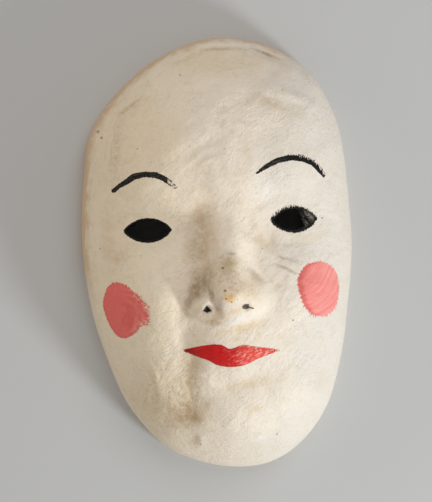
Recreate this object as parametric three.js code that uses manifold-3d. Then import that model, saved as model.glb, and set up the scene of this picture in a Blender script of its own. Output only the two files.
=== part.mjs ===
// A papier-mache face mask: one thin shell of layered paper, lying face up on its trimmed rim.
// Millimetres. +Z comes out of the face, +Y points to the crown, +X is the right as one looks at the face.
// The origin is in the rim's plane, midway between crown and chin and midway between the temples.
import * as THREE from 'three';
import { mergeVertices } from 'three/addons/utils/BufferGeometryUtils.js';
import Module from 'manifold-3d';

// Driving sizes of the shell
const maskHeight = 240;
const maskWidth = 151;
const faceDepth = 54; // rim to the middle of the face, before its features
const wallThickness = 3;
const domeFullness = 2.5; // the power of the dome's curve over the temples
const crownFullness = 0.7; // added to it over crown and chin
const domeRounding = 0.52; // a half would make the dome's edge round

// Driving sizes of the nose
const noseLength = 51; // root to tip
const noseRise = 18; // the ridge's height over the face, where it would meet the tip
const noseRootWidth = 22;
const noseTipWidth = 29;
const noseFlare = 0.6; // the share of its length above which the nose stays narrow
const noseUnderside = 20; // tip to upper lip, seen from the front
const undersideSlope = 1.25; // rise over run
const ridgeCurve = 1.2; // the ridge dips a little between root and tip
const bridgeRounding = 2.8; // the power of the nose's curve from side to side
const tipRounding = 3; // how softly the ridge turns under
const undersideRounding = 1.6; // how softly the underside meets the lip
const nostrilDepth = 1.6;
const nostrilWidth = 4.4;

// Driving sizes of the eye openings and the lips
const eyeWidth = 23.5;
const eyeHeight = 11.5;
const lipWidth = 50.5;
const lipRise = 1.3;
const upperLipHeight = 3.6;
const lowerLipHeight = 8.6;
const lipSlope = 2; // how wide the lips' raised edge is
const upperLipPower = 1.3; // over 1 draws the lips out to thin corners
const lowerLipPower = 1.6;
const bowDepth = 0.95; // the dip of the upper lip, as a share of its height
const bowWidth = 0.068; // half the dip's width, as a share of the lips' width
const almondPower = 0.8; // under 1 gives the eyes pointed corners

// How closely the skins are divided, across and along the face
const outerColumns = 46;
const outerRows = 68;
const innerColumns = 28;
const innerRows = 40;
const ringCrowding = 0.3; // 0 spaces the rings evenly, 1 crowds them at the rim
const normalStep = 0.01; // how far apart the skin is sampled for its slope
const rimSteps = 40; // between two points of the rim
const almondSteps = 12;
const nostrilSides = 10;

const halfWidth = maskWidth / 2;
const halfHeight = maskHeight / 2;
const throughCut = 4 * faceDepth; // longer than the shell is deep
const belowRim = -3 * wallThickness; // how far the hollow's cutter reaches
const featuresEnd = 0.8; // the features fade from this share of the rim's radius outwards

// Where the rim was trimmed, clockwise from the crown, as shares of the half width and half height.
// The right side is fuller than the left, as the hand-cut edge is.
const rimShares = [
  [0.0, 0.99], [0.41, 0.955], [0.75, 0.81], [0.93, 0.58], [0.985, 0.33],
  [1.0, 0.0], [0.95, -0.28], [0.87, -0.545], [0.72, -0.785], [0.41, -0.965],
  [0.03, -1.0], [-0.39, -0.91], [-0.665, -0.725], [-0.82, -0.515], [-0.935, -0.26],
  [-0.99, 0.03], [-0.965, 0.345], [-0.9, 0.565], [-0.69, 0.75], [-0.385, 0.905],
];

// Broad swellings and hollows of the face: the middle and the reach as shares of the half width
// and half height, the rise as a share of the face's depth, and a turn in degrees.
const faceForms = [
  { name: 'forehead', x: 0, y: 0.53, across: 0.66, along: 0.28, rise: 0.13, turn: 0 },
  { name: 'left brow', x: -0.53, y: 0.32, across: 0.27, along: 0.1, rise: 0.041, turn: 8 },
  { name: 'right brow', x: 0.49, y: 0.375, across: 0.27, along: 0.092, rise: 0.041, turn: -6 },
  { name: 'between the brows', x: 0.053, y: 0.333, across: 0.172, along: 0.108, rise: 0.037, turn: 0 },
  { name: 'nose root', x: -0.079, y: 0.167, across: 0.146, along: 0.092, rise: -0.037, turn: 0 },
  { name: 'left socket', x: -0.53, y: 0.092, across: 0.265, along: 0.108, rise: -0.056, turn: 0 },
  { name: 'right socket', x: 0.503, y: 0.125, across: 0.279, along: 0.108, rise: -0.063, turn: 0 },
  { name: 'left eyeball', x: -0.543, y: 0.1, across: 0.2, along: 0.075, rise: 0.056, turn: 0 },
  { name: 'right eyeball', x: 0.503, y: 0.125, across: 0.2, along: 0.075, rise: 0.056, turn: 0 },
  { name: 'left eye corner', x: -0.358, y: 0.158, across: 0.073, along: 0.033, rise: -0.019, turn: 25 },
  { name: 'right tear trough', x: 0.274, y: 0.058, across: 0.252, along: 0.032, rise: -0.037, turn: -40 },
  { name: 'left cheek', x: -0.543, y: -0.2, across: 0.238, along: 0.2, rise: 0.111, turn: 0 },
  { name: 'right cheek', x: 0.517, y: -0.167, across: 0.265, along: 0.2, rise: 0.111, turn: 0 },
  { name: 'left jowl', x: -0.556, y: -0.458, across: 0.172, along: 0.15, rise: 0.044, turn: 0 },
  { name: 'left smile line', x: -0.305, y: -0.458, across: 0.086, along: 0.2, rise: -0.048, turn: -2 },
  { name: 'left jaw line', x: -0.311, y: -0.725, across: 0.099, along: 0.1, rise: -0.026, turn: -6 },
  { name: 'mouth', x: 0.026, y: -0.433, across: 0.358, along: 0.167, rise: 0.093, turn: 0 },
  { name: 'muzzle', x: 0.013, y: -0.408, across: 0.225, along: 0.125, rise: 0.059, turn: 0 },
  { name: 'under the lip', x: 0.079, y: -0.583, across: 0.212, along: 0.037, rise: -0.019, turn: 8 },
  { name: 'chin', x: 0.053, y: -0.767, across: 0.331, along: 0.142, rise: 0.157, turn: 0 },
  { name: 'left jaw', x: -0.477, y: -0.65, across: 0.211, along: 0.15, rise: 0.056, turn: 0 },
  { name: 'right jaw', x: 0.503, y: -0.65, across: 0.211, along: 0.167, rise: 0.074, turn: 0 },
  { name: 'forehead rise', x: -0.411, y: 0.458, across: 0.159, along: 0.035, rise: 0.024, turn: 28 },
  { name: 'forehead dent', x: -0.093, y: 0.492, across: 0.172, along: 0.042, rise: -0.019, turn: 18 },
  { name: 'forehead fold', x: -0.079, y: 0.658, across: 0.291, along: 0.042, rise: 0.02, turn: 30 },
  { name: 'forehead fold right', x: 0.411, y: 0.704, across: 0.265, along: 0.038, rise: 0.02, turn: -14 },
];

// The nose's own forms, measured from its tip: across as shares of half the tip's width,
// along as shares of the nose's length, and the rise as a share of the nose's rise.
const noseForms = [
  { name: 'ball', x: 0.069, y: 0, across: 0.538, along: 0.157, rise: 0.289, turn: 0 },
  { name: 'bump', x: 0.138, y: 0.29, across: 0.414, along: 0.118, rise: 0.072, turn: 0 },
  { name: 'septum', x: -0.097, y: -0.276, across: 0.414, along: 0.098, rise: 0.089, turn: 0 },
  { name: 'left wing', x: -1.09, y: -0.137, across: 0.359, along: 0.124, rise: 0.289, turn: -12 },
  { name: 'right wing', x: 1.062, y: -0.082, across: 0.51, along: 0.153, rise: 0.256, turn: 15 },
  { name: 'left crease', x: -0.579, y: -0.08, across: 0.159, along: 0.137, rise: -0.167, turn: 15 },
  { name: 'left fold', x: -1.683, y: -0.129, across: 0.241, along: 0.157, rise: -0.078, turn: -20 },
  { name: 'right fold', x: 1.338, y: 0.137, across: 0.621, along: 0.047, rise: -0.072, turn: -47 },
];

const nostrilPlaces = [{ x: -0.82, y: -0.16 }, { x: 0.607, y: -0.165 }];

// Places on the face, as shares of the half width and half height, and their turns in degrees
const noseTipPlace = { x: -0.008, y: -0.17 };
const leftEyePlace = { x: -0.545, y: 0.115, turn: -1 };
const rightEyePlace = { x: 0.503, y: 0.137, turn: -2 };
const lipPlace = { x: -0.005, y: -0.43, turn: -2.4 };

const noseTip = new THREE.Vector2(noseTipPlace.x * halfWidth, noseTipPlace.y * halfHeight);

function smoothStep(from, to, value) {
  const t = THREE.MathUtils.clamp((value - from) / (to - from), 0, 1);
  return t * t * (3 - 2 * t);
}

// The lower of two heights, rounded over where they cross.
function softLower(a, b, blend) {
  return -blend * Math.log(Math.exp(-a / blend) + Math.exp(-b / blend));
}

// Zero below zero and the value itself above it, rounded in between.
function softRamp(value, blend) {
  return blend * Math.log(1 + Math.exp(value / blend));
}

// The sum of rounded mounds and dents. Lengths across, along and up are in the given units.
function sumOfForms(forms, x, y, centre, unitAcross, unitAlong, unitUp) {
  let sum = 0;
  for (const form of forms) {
    const angle = THREE.MathUtils.degToRad(form.turn);
    const dx = x - centre.x - form.x * unitAcross;
    const dy = y - centre.y - form.y * unitAlong;
    const u = (dx * Math.cos(angle) + dy * Math.sin(angle)) / (form.across * unitAcross);
    const v = (dy * Math.cos(angle) - dx * Math.sin(angle)) / (form.along * unitAlong);
    sum += form.rise * unitUp * Math.exp(-u * u - v * v);
  }
  return sum;
}

// The rim as directions and radii round the origin, centred and stretched to the mask's full size.
function traceRim() {
  const points = rimShares.map(([x, y]) => new THREE.Vector3(x, y, 0));
  const curve = new THREE.CatmullRomCurve3(points, true, 'catmullrom', 0.5);
  const samples = curve.getPoints(points.length * rimSteps).slice(1);
  const box = new THREE.Box3().setFromPoints(samples);
  const middle = box.getCenter(new THREE.Vector3());
  const size = box.getSize(new THREE.Vector3());
  return samples
    .map((p) => {
      const x = ((p.x - middle.x) / size.x) * maskWidth;
      const y = ((p.y - middle.y) / size.y) * maskHeight;
      return { angle: Math.atan2(y, x), radius: Math.hypot(x, y) };
    })
    .sort((a, b) => a.angle - b.angle);
}

const rim = traceRim();

function rimRadius(angle) {
  let high = rim.findIndex((sample) => sample.angle >= angle);
  if (high <= 0) high = high < 0 ? rim.length : 0;
  const before = rim[(high + rim.length - 1) % rim.length];
  const after = rim[high % rim.length];
  const span = THREE.MathUtils.euclideanModulo(after.angle - before.angle, 2 * Math.PI);
  const share = THREE.MathUtils.euclideanModulo(angle - before.angle, 2 * Math.PI) / span;
  return before.radius + (after.radius - before.radius) * share;
}

// The plain domed form: flat-topped across the face, steeper over crown and chin.
function domeHeight(share, angle) {
  const fullness = domeFullness + crownFullness * Math.sin(angle) ** 2;
  return faceDepth * Math.max(0, 1 - share ** fullness) ** domeRounding;
}

function noseHeight(x, y) {
  const along = (noseTip.y + noseLength - y) / noseLength;
  const ridge = noseRise * Math.max(0, along) ** ridgeCurve;
  const pastLip = y - noseTip.y + noseUnderside;
  const underside = undersideSlope * softRamp(pastLip, undersideRounding);
  const t = THREE.MathUtils.clamp(along, 0, 1);
  const reach = THREE.MathUtils.lerp(noseRootWidth, noseTipWidth, smoothStep(noseFlare, 1, t)) / 2;
  const rounding = Math.exp(-(Math.abs((x - noseTip.x) / reach) ** bridgeRounding));
  const middle = softLower(ridge, underside, tipRounding) * rounding;
  return middle + sumOfForms(noseForms, x, y, noseTip, noseTipWidth / 2, noseLength, noseRise);
}

// The lips are one low pad with a bow in its upper edge.
function lipHeight(x, y) {
  const angle = THREE.MathUtils.degToRad(lipPlace.turn);
  const dx = x - lipPlace.x * halfWidth;
  const dy = y - lipPlace.y * halfHeight;
  const u = dx * Math.cos(angle) + dy * Math.sin(angle);
  const v = dy * Math.cos(angle) - dx * Math.sin(angle);
  const share = u / lipWidth + 0.5;
  if (share <= 0 || share >= 1) return 0;
  const arch = Math.sin(Math.PI * share);
  const bow = bowDepth * Math.exp(-((u / (bowWidth * lipWidth)) ** 2));
  const upperEdge = upperLipHeight * (arch ** upperLipPower - bow);
  const lowerEdge = -lowerLipHeight * arch ** lowerLipPower;
  return lipRise * smoothStep(0, lipSlope, Math.min(upperEdge - v, v - lowerEdge));
}

function faceHeight(x, y) {
  const angle = Math.atan2(y, x);
  const share = Math.min(1, Math.hypot(x, y) / rimRadius(angle));
  const awayFromRim = 1 - smoothStep(featuresEnd, 1, share);
  const features = noseHeight(x, y) + lipHeight(x, y)
    + sumOfForms(faceForms, x, y, { x: 0, y: 0 }, halfWidth, halfHeight, faceDepth);
  return domeHeight(share, angle) + features * awayFromRim;
}

// Takes a place on the square -1..1 to a point of the outer skin. Squares become rings round the face.
function skinPoint(a, b) {
  const ring = Math.max(Math.abs(a), Math.abs(b));
  if (ring === 0) return new THREE.Vector3(0, 0, faceHeight(0, 0));
  const eighth = Math.PI / 4;
  const angle = Math.abs(a) >= Math.abs(b)
    ? eighth * (b / a) + (a < 0 ? Math.PI : 0)
    : eighth * (2 - a / b) + (b < 0 ? Math.PI : 0);
  const direction = Math.atan2(Math.sin(angle), Math.cos(angle));
  const share = THREE.MathUtils.lerp(ring, Math.sin((ring * Math.PI) / 2), ringCrowding);
  const radius = share * rimRadius(direction);
  const x = radius * Math.cos(direction);
  const y = radius * Math.sin(direction);
  return new THREE.Vector3(x, y, ring >= 1 ? 0 : faceHeight(x, y));
}

function skinNormal(a, b) {
  const left = skinPoint(Math.max(-1, a - normalStep), b);
  const right = skinPoint(Math.min(1, a + normalStep), b);
  const below = skinPoint(a, Math.max(-1, b - normalStep));
  const above = skinPoint(a, Math.min(1, b + normalStep));
  return right.sub(left).cross(above.sub(below)).normalize();
}

// A closed solid under the outer skin, moved inwards by inset and reaching down to floorZ.
function solidUnderSkin(columns, rows, inset, floorZ) {
  const positions = [];
  const grid = [];
  for (let j = 0; j <= rows; j += 1) {
    for (let i = 0; i <= columns; i += 1) {
      const a = (2 * i) / columns - 1;
      const b = (2 * j) / rows - 1;
      const point = skinPoint(a, b);
      if (inset > 0) point.addScaledVector(skinNormal(a, b), -inset);
      grid.push(point);
      positions.push(point.x, point.y, point.z);
    }
  }
  const at = (i, j) => j * (columns + 1) + i;
  const faces = [];
  for (let j = 0; j < rows; j += 1) {
    for (let i = 0; i < columns; i += 1) {
      const [p, q, r, s] = [at(i, j), at(i + 1, j), at(i + 1, j + 1), at(i, j + 1)];
      const shorterPR = grid[p].distanceTo(grid[r]) <= grid[q].distanceTo(grid[s]);
      if (shorterPR) faces.push(p, q, r, p, r, s);
      else faces.push(p, q, s, q, r, s);
    }
  }
  const edge = [];
  for (let i = 0; i < columns; i += 1) edge.push(at(i, 0));
  for (let j = 0; j < rows; j += 1) edge.push(at(columns, j));
  for (let i = columns; i > 0; i -= 1) edge.push(at(i, rows));
  for (let j = rows; j > 0; j -= 1) edge.push(at(0, j));
  let foot = edge;
  if (floorZ < 0) {
    const first = positions.length / 3;
    foot = edge.map((_, k) => first + k);
    for (const index of edge) positions.push(grid[index].x, grid[index].y, floorZ);
    for (let k = 0; k < edge.length; k += 1) {
      const next = (k + 1) % edge.length;
      faces.push(edge[next], edge[k], foot[k], edge[next], foot[k], foot[next]);
    }
  }
  const hub = positions.length / 3;
  positions.push(0, 0, floorZ);
  for (let k = 0; k < foot.length; k += 1) {
    faces.push(hub, foot[(k + 1) % foot.length], foot[k]);
  }
  const geometry = new THREE.BufferGeometry();
  geometry.setAttribute('position', new THREE.Float32BufferAttribute(positions, 3));
  geometry.setIndex(faces);
  return geometry;
}

// An almond with pointed corners, cut straight through the shell along Z.
function eyeCutter(place) {
  const outline = [];
  for (const side of [1, -1]) {
    for (let k = 0; k < almondSteps; k += 1) {
      const u = side * (1 - (2 * k) / almondSteps);
      const v = side * (1 - u * u) ** almondPower;
      outline.push(new THREE.Vector2((u * eyeWidth) / 2, (v * eyeHeight) / 2));
    }
  }
  const geometry = new THREE.ExtrudeGeometry(new THREE.Shape(outline), {
    depth: throughCut,
    bevelEnabled: false,
  });
  geometry.rotateZ(THREE.MathUtils.degToRad(place.turn));
  geometry.translate(place.x * halfWidth, place.y * halfHeight, -throughCut / 2);
  return geometry;
}

// A shallow hollow pressed into the underside of the nose, not cut through the wall.
function nostrilCutter(place) {
  const x = noseTip.x + place.x * (noseTipWidth / 2);
  const y = noseTip.y + place.y * noseLength;
  const geometry = new THREE.SphereGeometry(1, nostrilSides, nostrilSides - 2);
  geometry.scale(nostrilWidth / 2, nostrilWidth / 2, nostrilDepth);
  geometry.translate(x, y, faceHeight(x, y));
  return geometry;
}

const wasm = await Module();
wasm.setup();

function toSolid(geometry) {
  geometry.deleteAttribute('normal');
  geometry.deleteAttribute('uv');
  const merged = mergeVertices(geometry, 1e-4);
  return new wasm.Manifold(new wasm.Mesh({
    numProp: 3,
    vertProperties: new Float32Array(merged.attributes.position.array),
    triVerts: new Uint32Array(merged.index.array),
  }));
}

function toGeometry(solid) {
  const mesh = solid.getMesh();
  const geometry = new THREE.BufferGeometry();
  geometry.setAttribute('position', new THREE.BufferAttribute(mesh.vertProperties, 3));
  geometry.setIndex(new THREE.BufferAttribute(mesh.triVerts, 1));
  geometry.computeVertexNormals();
  return geometry;
}

function makeShell() {
  let shell = toSolid(solidUnderSkin(outerColumns, outerRows, 0, 0));
  shell = shell.subtract(
    toSolid(solidUnderSkin(innerColumns, innerRows, wallThickness, belowRim)),
  );
  for (const place of [leftEyePlace, rightEyePlace]) shell = shell.subtract(toSolid(eyeCutter(place)));
  for (const place of nostrilPlaces) shell = shell.subtract(toSolid(nostrilCutter(place)));
  const paintedPaper = new THREE.MeshStandardMaterial({
    name: 'painted paper',
    color: new THREE.Color().setRGB(0.89, 0.83, 0.73, THREE.SRGBColorSpace),
    roughness: 0.42,
    metalness: 0,
  });
  const mesh = new THREE.Mesh(toGeometry(shell), paintedPaper);
  mesh.name = 'mask_shell';
  return mesh;
}

const mask = new THREE.Group();
mask.add(makeShell());

export default mask;
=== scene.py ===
import bisect
import functools
import math

import bmesh
import bpy
from mathutils import Matrix, Vector, noise


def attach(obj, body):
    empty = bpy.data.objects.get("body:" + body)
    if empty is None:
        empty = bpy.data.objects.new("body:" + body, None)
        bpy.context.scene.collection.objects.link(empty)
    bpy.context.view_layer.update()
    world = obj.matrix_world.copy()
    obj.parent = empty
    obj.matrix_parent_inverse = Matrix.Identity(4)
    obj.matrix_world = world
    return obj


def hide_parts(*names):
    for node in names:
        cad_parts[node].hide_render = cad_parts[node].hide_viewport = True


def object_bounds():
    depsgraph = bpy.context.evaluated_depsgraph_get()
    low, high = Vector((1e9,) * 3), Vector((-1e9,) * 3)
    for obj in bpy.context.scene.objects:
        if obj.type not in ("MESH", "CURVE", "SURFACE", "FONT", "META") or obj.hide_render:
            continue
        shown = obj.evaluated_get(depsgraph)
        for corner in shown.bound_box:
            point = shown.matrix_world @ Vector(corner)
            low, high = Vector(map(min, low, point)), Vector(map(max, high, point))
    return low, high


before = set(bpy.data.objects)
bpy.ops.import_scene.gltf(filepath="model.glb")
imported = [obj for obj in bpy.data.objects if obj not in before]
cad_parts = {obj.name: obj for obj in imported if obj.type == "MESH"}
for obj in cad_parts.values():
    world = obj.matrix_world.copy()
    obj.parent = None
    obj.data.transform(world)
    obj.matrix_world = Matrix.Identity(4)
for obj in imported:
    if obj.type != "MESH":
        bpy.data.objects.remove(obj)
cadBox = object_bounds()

mm = 0.001
print("papier-mache mask: frame loaded")


# The camera looks down on the mask, turned and rolled as in the photograph.
view = {
    "distance": 1.25,  # metres from the lens to the middle of the rim
    "turn": 5.0,  # degrees that the camera stands to the mask's left
    "roll": 2.5,  # degrees that the crown leans to the left
    "maskPixels": 430.5,  # crown to chin in the photograph
    "middlePixel": (217.5, 253.25),  # where the middle of the rim shows
    "photoSize": (432, 502),
    "sensor": 36.0,
    "nearest": 0.05,  # metres, where the camera starts to see
}


def makeCamera():
    height = cadBox[1][1] - cadBox[0][1]
    turn = math.radians(view["turn"])
    roll = math.radians(view["roll"])
    back = Vector((-math.sin(turn), 0, math.cos(turn)))
    level = Vector((math.cos(turn), 0, math.sin(turn)))
    upright = Vector((0, 1, 0))
    right = level * math.cos(roll) - upright * math.sin(roll)
    up = level * math.sin(roll) + upright * math.cos(roll)
    camera = bpy.data.objects.new("camera", bpy.data.cameras.new("camera"))
    bpy.context.collection.objects.link(camera)
    place = Matrix((right, up, back)).transposed().to_4x4()
    place.translation = back * view["distance"]
    camera.matrix_world = place
    wide, tall = view["photoSize"]
    longSide = max(wide, tall)
    pixelsPerSlope = view["distance"] * view["maskPixels"] / height
    camera.data.sensor_width = view["sensor"]
    camera.data.lens = view["sensor"] * pixelsPerSlope / longSide
    camera.data.shift_x = (wide / 2 - view["middlePixel"][0]) / longSide
    camera.data.shift_y = (view["middlePixel"][1] - tall / 2) / longSide
    camera.data.clip_start = view["nearest"]
    bpy.context.scene.camera = camera


makeCamera()
print("camera placed")


# The shell's own forms, in millimetres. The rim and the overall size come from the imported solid.
shell = {
    "faceDepth": 54.0,  # rim to the middle of the face, before its features
    "wall": 3.0,
    "columns": 166,  # cells across the face
    "rows": 262,
    "fullness": 2.5,  # how square the dome's shoulders are at the temples
    "fullerEnds": 0.7,  # and how much more at crown and chin
    "shoulder": 0.52,
    "evenRings": 0.7,  # the share of the grid's rings that stay evenly spaced
    "trim": 0.7,  # how far the scissors wandered inside the rim
    "trimWaves": 4.3,
    "topGap": 0.2,  # how far the face stays under the solid's top
    "topBlend": 0.4,
    "formsEnd": 0.8,  # the share of the way to the rim from which the forms die away
    "reliefEnds": 0.97,  # and the hand-made relief
}

nose = {
    "tip": (-0.6, -20.4),
    "length": 51.0,
    "rise": 18.4,
    "rootWidth": 21.0,
    "tipWidth": 29.0,
    "flare": 0.6,  # the share of its length above which the nose stays narrow
    "underside": 20.0,
    "undersideSlope": 1.25,
    "blend": 3.0,
    "rounding": 2.8,
    "nostrils": [(-12.5, -28.6), (8.2, -28.8)],
    "nostrilDepth": 2.2,
    "nostrilReach": 1.9,
    "ball": (-1.9, -21.4, 8.8, 3.6),  # middle, reach and rise
}

lips = {
    "outline": [(-25.5, -51.0), (-20.3, -49.7), (-14.2, -48.6), (-8.7, -48.2), (-4.6, -48.9),
                (-0.8, -51.0), (3.9, -49.7), (7.0, -49.3), (11.1, -50.1), (16.9, -51.2),
                (22.8, -52.2), (26.6, -53.3), (22.7, -54.5), (17.6, -56.0), (13.1, -57.6),
                (9.5, -59.2), (5.1, -60.5), (-0.6, -60.8), (-5.5, -60.1), (-9.0, -58.8),
                (-12.4, -56.7), (-15.8, -55.5), (-19.1, -54.1), (-22.4, -52.5)],
    "rise": 1.2,
    "slope": 2.4,
}

# How far beyond painted edges, in millimetres, their distance is still worked out
paintReach = {"patch": 3.0, "eye": 6.0, "brow": 6.0}

# The two dabs of colour on the cheeks, as their edges run
cheeks = {
    "left": [(-60.0, -13.2), (-56.0, -13.6), (-52.7, -15.8), (-49.4, -18.8), (-45.8, -21.6),
             (-42.9, -25.9), (-42.0, -30.9), (-42.5, -36.3), (-46.3, -37.6), (-48.9, -40.1),
             (-52.2, -42.8), (-55.6, -43.8), (-58.9, -42.4), (-62.0, -38.2), (-64.6, -31.6),
             (-65.9, -24.7), (-64.5, -18.9), (-62.7, -15.0)],
    "right": [(46.7, -7.1), (51.5, -6.7), (56.3, -8.2), (60.5, -11.8), (62.6, -16.6),
              (63.1, -22.5), (62.4, -28.2), (59.9, -33.1), (55.4, -36.1), (51.2, -36.9),
              (47.1, -36.2), (43.2, -33.5), (40.1, -29.0), (38.7, -24.6), (37.3, -19.2),
              (37.7, -15.4), (39.8, -11.5), (42.7, -8.5)],
}

eyes = {
    "width": 23.5,
    "height": 11.5,
    "places": [(-41.1, 13.8, -1.0), (38.0, 16.4, 0.5)],  # middle and turn
    "slantedCut": [(40.4, 21.5), (45.2, 11.0)],  # how far in the right eye's cut reaches at the back
    "cutReach": 15.0,
    "near": 0.75,  # the share of the width within which cells are drawn to the opening
    "merge": 0.05,
    "easing": 12,  # times that those cells are evened out
}

# Mounds and dents: middle, reach across and along, rise, turn in degrees
faceForms = {
    "forehead": (0, 63.6, 49.8, 33.6, 7.0, 0),
    "left brow": (-40, 38.4, 20.4, 12.0, 2.2, 8),
    "right brow": (37, 45, 20.4, 11, 2.2, -6),
    "between the brows": (4, 40, 13.0, 13.0, 2.0, 0),
    "nose root": (-6, 20, 11.0, 11, -2.0, 0),
    "left socket": (-40, 11, 20.0, 13, -3.0, 0),
    "right socket": (38, 15, 21.1, 13, -3.4, 0),
    "left eyeball": (-41, 12, 15.1, 9, 3.0, 0),
    "right eyeball": (38, 15, 15.1, 9, 3.0, 0),
    "left eye corner": (-27, 19, 5.5, 4.0, -1.0, 25),
    "right tear trough": (20.7, 7.0, 19.0, 3.8, -2.0, -40),
    "left cheek": (-41, -24, 18.0, 24, 6.0, 0),
    "right cheek": (39, -20, 20, 24, 6.0, 0),
    "left jowl": (-42, -55, 13, 18, 2.4, 0),
    "left smile line": (-22.0, -55, 7.5, 24, -2.4, -2),
    "left jaw line": (-23.5, -87, 7.5, 12, -1.4, -6),
    "mouth": (2, -52, 27.0, 20, 5.0, 0),
    "muzzle": (1, -49, 17.0, 15, 3.2, 0),
    "under the lip": (6, -70, 16.0, 4.5, -1.0, 8),
    "chin": (4, -92, 25, 17, 8.5, 0),
    "left jaw": (-36, -78, 15.9, 18, 3.0, 0),
    "right jaw": (38, -78, 15.9, 20, 4.0, 0),
    "nose bump": (1.4, -5.6, 5.4, 5.4, 1.7, 0),
    "septum": (-2.0, -34.5, 6.0, 5.0, 1.6, 0),
    "left wing": (-16.0, -27.6, 5.0, 6.0, 6.2, -12),
    "left nose side": (-14.5, 6.0, 7.0, 24.0, -2.4, -6),
    "left wing groove": (-18.0, -18.0, 3.4, 9.0, -2.6, -28),
    "right wing": (14.8, -24.6, 7.4, 7.8, 4.6, 15),
    "left crease": (-9.6, -23.4, 2.2, 6.6, -4.4, 16),
    "left fold": (-25.0, -27.0, 3.5, 8.0, -1.4, -20),
    "right fold": (18.8, -13.4, 9.0, 2.4, -1.3, -47),
    "forehead rise": (-31, 55, 12, 4.2, 1.3, 28),
    "forehead dent": (-7, 59, 13, 5.0, -1.0, 18),
    "forehead fold": (-6, 79, 22, 5.0, 1.1, 30),
    "forehead fold right": (31, 84.5, 20, 4.6, 1.1, -14),
}

# Marks of the hands and of wet paper: sizes across and along, then rise, in millimetres
handMarks = {
    "turn": 36,  # degrees that creases and ripples run up to the right
    "wander": 15,
    "lump": (23, 1.0),
    "small lump": (10.5, 0.5),
    "crease": (24, 14, 0.34),
    "small crease": (9, 6.5, 0.14),
    "ripple": (12, 3.6, 0.1),
    "grit": (3.6, 0.1),
}

# Where the paper crumpled most, at the left of the jaw
crumple = {"middle": (-33, -74), "reach": 24, "size": (6, 8), "rise": 0.45}

# Folds and ridges of the hand-pressed paper: route, half width, and rise over the skin
wrinkles = {
    "temple crease": ([(-59, 36), (-57.5, 50), (-55.5, 62), (-51, 80)], 3.2, -0.9),
    "temple crack": ([(-39.5, 87.5), (-42.5, 84.5), (-44, 82), (-48, 80.5), (-53, 77.5)], 1.2, -1.4),
    "temple shelf": ([(-36, 90), (-43, 87), (-52, 82)], 2.6, 0.7),
    "crown groove": ([(-22, 104), (-10, 109.5), (0, 112), (10, 112.5), (20, 110)], 1.5, -1.6),
    "crown lip": ([(-36, 99.5), (-20, 109), (-4, 115), (8, 116.5), (20, 114.5), (30, 110.5)], 2.4, 1.5),
    "crown fold": ([(22, 111.5), (29, 107.5), (38, 104.5)], 1.4, -2.2),
    "crown roll": ([(24, 107), (34, 103), (44, 97)], 2.6, 0.9),
    "forehead ridge": ([(36, 86), (44, 83), (50, 80), (56, 75)], 2.4, 1.0),
    "forehead ridge low": ([(47, 74), (51, 77), (57, 79.5)], 1.6, 0.7),
    "forehead hollow": ([(18, 86), (26, 83), (34, 79)], 3.4, -0.9),
    "forehead line": ([(8, 94), (14, 97), (23, 101.5)], 1.1, 0.6),
    "forehead line low": ([(-6, 84), (2, 88), (12, 90)], 1.2, 0.5),
    "brow line": ([(-22, 52), (-13, 60), (-5, 66)], 1.6, 0.5),
    "cheek wrinkle": ([(22, -7), (30.5, -9), (38.5, -13)], 0.7, -0.5),
    "cheek wrinkle high": ([(27, -3), (34, -4), (41, -6.5)], 0.7, -0.35),
    "nose fold": ([(3, 16), (9, 9), (15.5, 3.5), (26, -5), (36, -11)], 2.2, 0.7),
    "eye fold": ([(24, 5), (32, 3), (40, 3.5)], 1.8, -0.5),
    "jaw ridge": ([(-39.7, -60), (-39.5, -66), (-38, -75)], 2.2, 0.9),
    "jaw ridge outer": ([(-53, -62), (-52, -68), (-50, -76)], 1.8, 0.7),
    "jaw groove": ([(-22.5, -63), (-21, -70), (-19, -80)], 3.2, -0.4),
    "jaw lump": ([(-18.5, -85), (-15, -91)], 3.6, 1.2),
    "jaw line": ([(-16, -66), (-9, -72), (-2, -75)], 1.3, 0.5),
    "chin fleck": ([(-17.0, -99), (-15.5, -103.5)], 1.5, 1.3),
    "chin pit": ([(-19.6, -98), (-19.2, -104)], 1.5, -1.2),
    "rim line": ([(-56, -70), (-48.5, -84), (-40.5, -96), (-30.5, -106), (-13, -113.5)], 1.5, 0.8),
    "edge ridge": ([(63, -34), (65, -44), (64, -56)], 1.5, 0.6),
    "septum edge": ([(-11, -38), (-4, -38), (3, -35.6), (9, -32.4), (14, -30), (20, -28.4)], 1.7, 1.5),
    "wing edge": ([(-23, -24), (-22.5, -31), (-17, -35)], 1.3, -0.8),
}


def smoothStep(low, high, value):
    t = min(1.0, max(0.0, (value - low) / (high - low)))
    return t * t * (3 - 2 * t)


def softLower(a, b, blend):
    return -blend * math.log(math.exp(-a / blend) + math.exp(-b / blend))


def softRamp(value, blend):
    return blend * math.log(1 + math.exp(value / blend))


def turned(x, y, middle, degrees):
    angle = math.radians(degrees)
    dx, dy = x - middle[0], y - middle[1]
    return (dx * math.cos(angle) + dy * math.sin(angle),
            dy * math.cos(angle) - dx * math.sin(angle))


def distanceToRoute(x, y, route):
    # the distance, and how far along the route its nearest point is, from 0 to 1
    best, along = 1e9, 0.0
    for k, (a, b) in enumerate(zip(route, route[1:])):
        dx, dy = b[0] - a[0], b[1] - a[1]
        t = ((x - a[0]) * dx + (y - a[1]) * dy) / (dx * dx + dy * dy)
        t = min(1.0, max(0.0, t))
        gap = math.hypot(x - a[0] - t * dx, y - a[1] - t * dy)
        if gap < best:
            best, along = gap, (k + t) / (len(route) - 1)
    return best, along


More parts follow.
